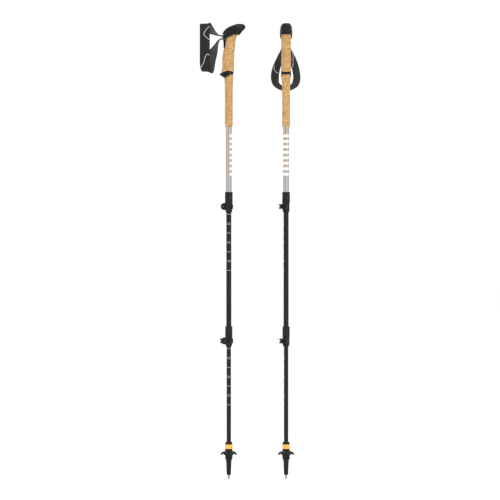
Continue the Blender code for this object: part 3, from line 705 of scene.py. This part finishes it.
def build_strap(side, matrix, stations):
    band = Band(stations)
    steps, columns = 10, 12
    rings = []
    for k in range(band.last * steps + 1):
        t = k / steps
        half = band.half(t)
        ripple = 0.12 * math.sin(t * 5.3) + 0.1 * math.sin(t * 11.7 + 1)
        shares = [2 * i / columns - 1 for i in range(columns + 1)]
        upper = [band.point(t, s * half, BAND_HALF * puff(s) + ripple * (1 - s * s)) for s in shares]
        lower = [band.point(t, s * half, -BAND_HALF * puff(s) + ripple * (1 - s * s))
                 for s in reversed(shares)]
        rings.append(upper + lower)
    strap = loft(f"{side}_wrist_strap", rings)
    strap.data.materials.append(STRAP_OUTER)
    strap.data.materials.append(STRAP_LINING)
    strap.data.materials.append(STRAP_EDGE)
    per_ring = 2 * (columns + 1)
    for index, face in enumerate(strap.data.polygons):
        column = index % per_ring
        if index >= (len(rings) - 1) * per_ring:
            face.material_index = 2
        elif column in (0, columns - 1, columns, columns + 1, per_ring - 2, per_ring - 1):
            face.material_index = 2
        else:
            face.material_index = 0 if column < columns else 1
    finish_piece(strap, matrix, None, STRAP_OUTER, [f"{side}_strap_loop"], 60)
    hang(strap)

    # Piped lines, and two rows of stitches beside the bound edges.
    lines = [soft_cord(band, route) for route in PIPING[side]]
    piping = joined(f"{side}_strap_piping", lines)
    finish_piece(piping, matrix, None, PIPING_INK, (), 60)
    hang(piping)
    stitches = stitch_rows(band, f"{side}_strap_stitches")
    finish_piece(stitches, matrix, None, THREAD, (), 60)
    hang(stitches)


def hang(piece):
    """Bake the piece's placement into its mesh; the piece is tied to no body."""
    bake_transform(piece)


def soft_cord(band, route, radius=0.7):
    """A thin half-buried cord on the outer face, along (station, across) points."""
    rows = smooth_rows([(t, across, 0) for t, across in route], 8)
    centers = []
    for t, across, _ in rows:
        share = across / band.half(t)
        centers.append(band.point(t, across, BAND_HALF * puff(share) - 0.1))
    rings = []
    for i, center in enumerate(centers):
        along = (centers[min(i + 1, len(centers) - 1)] - centers[max(i - 1, 0)]).normalized()
        _, _, normal = band.axes(rows[i][0])
        side = along.cross(normal).normalized()
        up = side.cross(along)
        rings.append([center + (side * math.cos(a) + up * math.sin(a)) * radius * MM
                      for a in (2 * math.pi * k / 8 for k in range(8))])
    return loft("line", rings)


# Corner numbers of a small box's six faces.
BOX_QUADS = ((0, 1, 3, 2), (4, 6, 7, 5), (0, 4, 5, 1), (2, 3, 7, 6), (0, 2, 6, 4), (1, 5, 7, 3))


def stitch_rows(band, name):
    form = bmesh.new()
    spacing, length, wide, tall = 3.0, 1.9, 0.22, 0.16
    for edge in (-1, 1):
        for face in (-1, 1):
            t, travelled = 2.0, 0.0
            previous = band.point(t, 0, 0)
            while t < band.last - 2.0:
                t += 0.01
                here = band.point(t, 0, 0)
                travelled += (here - previous).length / MM
                previous = here
                if travelled < spacing:
                    continue
                travelled = 0.0
                along, side, normal = band.axes(t)
                share = 0.76 * edge
                center = band.point(t, share * band.half(t), face * (BAND_HALF * puff(share) + 0.05))
                corners = [form.verts.new(center + (along * a * length / 2 + side * b * wide
                                                    + normal * c * tall) * MM)
                           for a in (-1, 1) for b in (-1, 1) for c in (-1, 1)]
                for quad in BOX_QUADS:
                    form.faces.new([corners[i] for i in quad])
    bmesh.ops.recalc_face_normals(form, faces=form.faces)
    mesh = bpy.data.meshes.new(name)
    form.to_mesh(mesh)
    form.free()
    return link_mesh(name, mesh)


# Shaft ----------------------------------------------------------------------------------------
# How far a printed patch reaches into its tube, m.
PATCH_SINK = 0.0002


def patch(radius, middle_deg, half_deg, low, high, lift=0.00008):
    """A printed mark: a thin curved plate on a tube's surface."""
    form = bmesh.new()
    steps = 8
    rows = []
    under, over = radius - PATCH_SINK, radius + lift
    for r, z in ((under, low), (over, low), (over, high), (under, high)):
        row = []
        for i in range(steps + 1):
            angle = math.radians(middle_deg - half_deg + 2 * half_deg * i / steps)
            row.append(form.verts.new((r * math.cos(angle), r * math.sin(angle), z)))
        rows.append(row)
    for a, b in zip(rows, rows[1:] + rows[:1]):
        for i in range(steps):
            form.faces.new((a[i], a[i + 1], b[i + 1], b[i]))
    for i in (0, steps):
        form.faces.new([row[i] for row in rows])
    bmesh.ops.recalc_face_normals(form, faces=form.faces)
    mesh = bpy.data.meshes.new("mark")
    form.to_mesh(mesh)
    form.free()
    return link_mesh("mark", mesh)


def length_marks(name, radius, top, count):
    """Marks every 25 mm down one side; every second one is a wider pair."""
    marks = []
    for i in range(count):
        z = top - 0.025 * i
        if i % 2:
            marks.append(patch(radius, -90, 52, z + 0.0012, z + 0.0022))
            marks.append(patch(radius, -90, 52, z - 0.0024, z - 0.0014))
        else:
            marks.append(patch(radius, -90, 52, z - 0.0006, z + 0.0006))
    return joined(name, marks)


def build_shaft(side, matrix):
    parts = (("upper", CHAMPAGNE, "tube_champagne"), ("middle", BLACK_TUBE, "tube_black"),
             ("lower", BLACK_TUBE, "tube_black"))
    for part, material, slot in parts:
        node = f"{side}_{part}_tube"
        low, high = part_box(node)
        radius = (high.x - low.x) / 2
        shaft = tube(f"{side}_{part}_shaft", radius, radius - 0.0006, low.z, high.z)
        finish_piece(shaft, matrix, f"{side}_{part}", material, [node])
    middle_radius = (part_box(f"{side}_middle_tube")[1].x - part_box(f"{side}_middle_tube")[0].x) / 2
    lower_radius = (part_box(f"{side}_lower_tube")[1].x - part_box(f"{side}_lower_tube")[0].x) / 2
    upper_radius = (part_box(f"{side}_upper_tube")[1].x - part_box(f"{side}_upper_tube")[0].x) / 2
    marks = length_marks(f"{side}_middle_marks", middle_radius, 0.710, 7)
    finish_piece(marks, matrix, f"{side}_middle", MARK_INK)
    marks = length_marks(f"{side}_lower_marks", lower_radius, 0.350, 7)
    finish_piece(marks, matrix, f"{side}_lower", MARK_INK)

    # Plain printed bars on the nose's side of the upper tube, in place of any wording.
    bars = []
    for i in range(8):
        top = 0.9235 - 0.0147 * i
        bars.append(patch(upper_radius, -10, 64, top - 0.0064, top))
    finish_piece(joined(f"{side}_upper_bars", bars), matrix, f"{side}_upper", WHITE_INK)
    for plug in ("middle", "lower"):
        dress(f"{side}_{plug}_guide_plug", HEAD_PLASTIC)


# Locks ----------------------------------------------------------------------------------------
def build_lock(side, lock, matrix):
    prefix = f"{side}_{lock}_lock"
    upper = lock == "upper"
    sleeve_body = f"{side}_upper" if upper else f"{side}_middle"
    outer_tube, inner_tube = (8.0, 7.0) if upper else (7.0, 6.0)
    radius, taper = (10.5, 1.2) if upper else (9.8, 3.2)
    socket, grip = outer_tube + 0.15, inner_tube + 0.25
    profile = in_mm([
        (socket, 54), (radius - 1.1, 54), (radius - 0.5, 54 - taper * 0.3), (radius, 54 - taper),
        (radius, 47), (radius - 0.3, 46.6), (radius - 0.3, 45.8), (radius, 45.4), (radius, 24.6),
        (radius - 0.4, 24.0), (9.4, 23.2), (9.4, 6.5), (9.0, 5.2), (grip + 1.9, 1.0), (grip + 1.3, 0),
        (grip, 0), (grip, 24), (socket, 24),
    ])
    sleeve = turned(f"{prefix}_housing", profile)
    outline = arc((-12.2, 15.0), 9.6, 90, 270, 24) + [(-8.0, 5.4), (-8.0, 24.6)]
    ears = prism("ears", in_mm(outline), -0.0045, 0.0045)
    combine(sleeve, ears, "UNION")
    combine(sleeve, turned("bore", in_mm([(0, 23.9), (grip, 23.9), (grip, -5), (0, -5)])))
    combine(sleeve, box_piece("slit", (-0.04, -0.001, -0.005), (-0.003, 0.001, 0.0256)))
    combine(sleeve, cross_cylinder("hole", 1.9, (-15.5, -20, 15), 40))
    soften(sleeve, 0.35 * MM, 2, 40)
    finish_piece(sleeve, matrix, sleeve_body, LOCK_PLASTIC, [f"{prefix}_sleeve"])

    pivot = (-15.5, 9.8)
    outline = arc((0, 0), 11.6, -27, 80, 26) + arc(pivot, 5.0, 68, 300, 26) + arc((0, 0), 9.8, 115, -29, 34)
    lever = prism(f"{prefix}_clamp_lever", in_mm(outline), 8.5 * MM, 21.5 * MM, upright=False)
    combine(lever, box_mm("fork", (-23.5, 0, 12.8), (-9.5, 24, 17.2)))
    combine(lever, shifted_rod(3.5, pivot, 0, 30))
    for i in range(4):
        angle = math.radians(-14 + 7 * i)
        groove = cross_groove(angle)
        combine(lever, groove)
    soften(lever, 0.45 * MM, 2, 40)
    finish_piece(lever, matrix, f"{side}_{lock}_lever", LOCK_PLASTIC, [f"{prefix}_lever"])

    barrel = shifted_rod(3.2, pivot, 8.9, 21.1)
    barrel.name = f"{prefix}_barrel"
    combine(barrel, cross_cylinder("hole", 1.9, (-15.5, 0, 15), 20))
    soften(barrel, 0.3 * MM, 2, 40)
    finish_piece(barrel, matrix, sleeve_body, DARK_STEEL, [f"{prefix}_barrel_pin"])

    screw = cross_cylinder(f"{prefix}_adjust_screw", 1.6, (-15.5, -8.35, 15), 20.75)
    head = cross_cylinder("head", 2.7, (-15.5, -9.0, 15), 1.3)
    combine(screw, head, "UNION")
    combine(screw, box_mm("drive", (-17.7, -9.4, 14.6), (-13.3, -8.3, 15.4)))
    soften(screw, 0.2 * MM, 2, 40)
    finish_piece(screw, matrix, f"{side}_{lock}_screw", DARK_STEEL, [f"{prefix}_screw"])

    wheel = knurled_wheel(f"{prefix}_knob")
    finish_piece(wheel, matrix, f"{side}_{lock}_screw", LOCK_PLASTIC, [f"{prefix}_wheel"])


def shifted_rod(radius, place, bottom, top):
    item = turned("rod", in_mm([(0, top), (radius, top), (radius, bottom), (0, bottom)]), 36)
    item.data.transform(Matrix.Translation((place[0] * MM, place[1] * MM, 0)))
    return item


def cross_cylinder(name, radius, start, length):
    item = turned(name, in_mm([(0, length), (radius, length), (radius, 0), (0, 0)]), 32)
    turn = Matrix.Rotation(-math.pi / 2, 4, "X")
    item.data.transform(Matrix.Translation(Vector(start) * MM) @ turn)
    return item


def cross_groove(angle):
    """A shallow upright groove in the lever's thumb end."""
    item = box_piece("groove", (0.0113, -0.0004, 0.0095), (0.0125, 0.0004, 0.0205))
    item.data.transform(Matrix.Rotation(angle, 4, "Z"))
    return item


def knurled_wheel(name):
    teeth, outline = 18, []
    for i in range(teeth * 4):
        radius = 4.2 if i % 4 < 2 else 3.85
        angle = 2 * math.pi * i / (teeth * 4)
        outline.append((-15.5 + radius * math.cos(angle), 15.0 + radius * math.sin(angle)))
    wheel = prism(name, in_mm(outline), -7.4 * MM, -4.8 * MM)
    combine(wheel, cross_cylinder("hole", 1.9, (-15.5, -12, 15), 12))
    return wheel


# Tip ------------------------------------------------------------------------------------------
def build_tip(side, matrix):
    body = f"{side}_lower"
    profile = in_mm([
        (0, 59.7), (6.25, 59.7), (6.25, 100.8), (7.2, 100.8), (8.2, 100.3), (9.0, 99.4), (9.6, 98.0),
        (9.9, 96.4), (9.9, 94.0), (9.7, 93.7), (7.4, 93.7), (7.4, 54.0), (7.7, 51.8), (7.35, 44.4),
        (7.0, 43.8), (6.9, 36.0),
        (6.0, 15.0), (5.6, 13.0), (4.8, 11.9), (3.4, 11.5), (3.4, 36.0), (0, 36.0),
    ])
    housing = turned(f"{side}_tip_cone", profile)
    finish_piece(housing, matrix, body, TIP_PLASTIC, [f"{side}_tip_housing"])
    accent = turned(f"{side}_orange_ring", in_mm([
        (7.6, 93.4), (9.9, 93.4), (10.5, 92.8), (10.5, 89.0), (10.25, 88.7), (10.25, 88.0), (10.5, 87.7),
        (10.5, 82.3), (9.9, 81.7), (7.6, 81.7)]))
    finish_piece(accent, matrix, body, ORANGE, [f"{side}_accent_ring"])

    basket = turned(f"{side}_snow_basket", in_mm([
        (7.6, 81.4), (8.9, 81.4), (9.8, 80.5), (9.8, 77.6), (11.0, 76.5), (14.0, 75.6), (17.0, 74.3),
        (19.6, 72.4),
        (21.6, 69.8), (22.6, 67.4), (22.6, 66.2), (22.1, 65.6), (21.4, 65.8), (20.2, 67.6), (18.0, 69.9),
        (15.6, 71.4), (13.0, 72.4), (10.6, 73.0), (9.8, 72.2), (9.45, 54.0), (8.9, 52.6), (8.2, 52.4),
        (7.6, 52.4)]),
        84)
    for i in range(4):
        angle = math.pi / 2 * i
        combine(basket, shifted_rod(3.2, (15.6 * math.cos(angle), 15.6 * math.sin(angle)), 50, 90))
        notch = cross_cylinder("notch", 6.3, (0, 10.6, 62.4), 16)
        notch.data.transform(Matrix.Rotation(angle + math.pi / 4, 4, "Z"))
        combine(basket, notch)
    for i in range(12):
        rib = box_mm("rib", (9.2, -0.5, 55), (10.1, 0.5, 72.0))
        rib.data.transform(Matrix.Rotation(2 * math.pi * i / 12, 4, "Z"))
        combine(basket, rib, "UNION")
    soften(basket, 0.3 * MM, 2, 40)
    finish_piece(basket, matrix, f"{side}_basket", TIP_PLASTIC, [f"{side}_basket"])

    holder = turned(f"{side}_steel_core", in_mm([
        (0, 35.8), (3.1, 35.8), (3.1, 11.4), (2.6, 10.9), (2.5, 10.2), (3.0, 7.0), (3.1, 5.8), (2.9, 4.2),
        (2.5, 3.1), (1.8, 3.0), (1.8, 9.0), (0, 9.0)]), 40)
    finish_piece(holder, matrix, body, WORN_STEEL, [f"{side}_tip_holder"])
    point = turned(f"{side}_hard_point", in_mm([
        (0, 8.7), (1.65, 8.7), (1.65, 0.7), (1.4, 0.2), (1.2, 0), (0, 0)]), 40)
    finish_piece(point, matrix, body, CARBIDE, [f"{side}_carbide_tip"])


build_stage()
CORK = cork_paint()
HEAD_PLASTIC = moulded_paint("head_moulding", (0.004, 0.004, 0.0042), (0.009, 0.009, 0.0093), 0.18, 0.3)
LOCK_PLASTIC = moulded_paint("lock_moulding", (0.005, 0.005, 0.0052), (0.011, 0.011, 0.0114), 0.24, 0.38)
TIP_PLASTIC = moulded_paint("tip_moulding", (0.005, 0.005, 0.0052), (0.011, 0.011, 0.0114), 0.28, 0.42)
BADGE = metal_paint("silver_insert", (0.62, 0.62, 0.63), 0.25, 0.4)
CHAMPAGNE = champagne_paint()
BLACK_TUBE = black_tube_paint()
STRAP_OUTER = fabric_paint("strap_outer", (0.008, 0.008, 0.009), (0.026, 0.026, 0.028), 0.12)
STRAP_LINING = fabric_paint("strap_lining", (0.03, 0.03, 0.031), (0.10, 0.10, 0.104), 0.2)
STRAP_EDGE = fabric_paint("strap_binding", (0.005, 0.005, 0.0055), (0.013, 0.013, 0.014), 0.08)
THREAD = fabric_paint("strap_thread", (0.05, 0.05, 0.052), (0.1, 0.1, 0.104), 0.1)
PIPING_INK = fabric_paint("strap_piping", (0.55, 0.55, 0.56), (0.85, 0.85, 0.86), 0.1)
ORANGE = orange_paint()
STEEL = metal_paint("plated_steel", (0.62, 0.62, 0.62), 0.22, 0.38)
WORN_STEEL = metal_paint("worn_steel", (0.3, 0.3, 0.3), 0.3, 0.45)
DARK_STEEL = metal_paint("blackened_steel", (0.07, 0.07, 0.072), 0.3, 0.45)
CARBIDE = metal_paint("ground_carbide", (0.16, 0.16, 0.165), 0.3, 0.5)
MARK_INK = print_paint("mark_ink", (0.34, 0.34, 0.34))
WHITE_INK = print_paint("white_ink", (0.85, 0.85, 0.85))

for side, stations in (("left", LEFT_STRAP), ("right", RIGHT_STRAP)):
    place = pole_matrix(side)
    build_grip(side, place)
    build_strap(side, place, stations)
    build_shaft(side, place)
    for lock in ("upper", "lower"):
        build_lock(side, lock, lock_matrix(side, lock))
    build_tip(side, place)

bpy.context.view_layer.update()
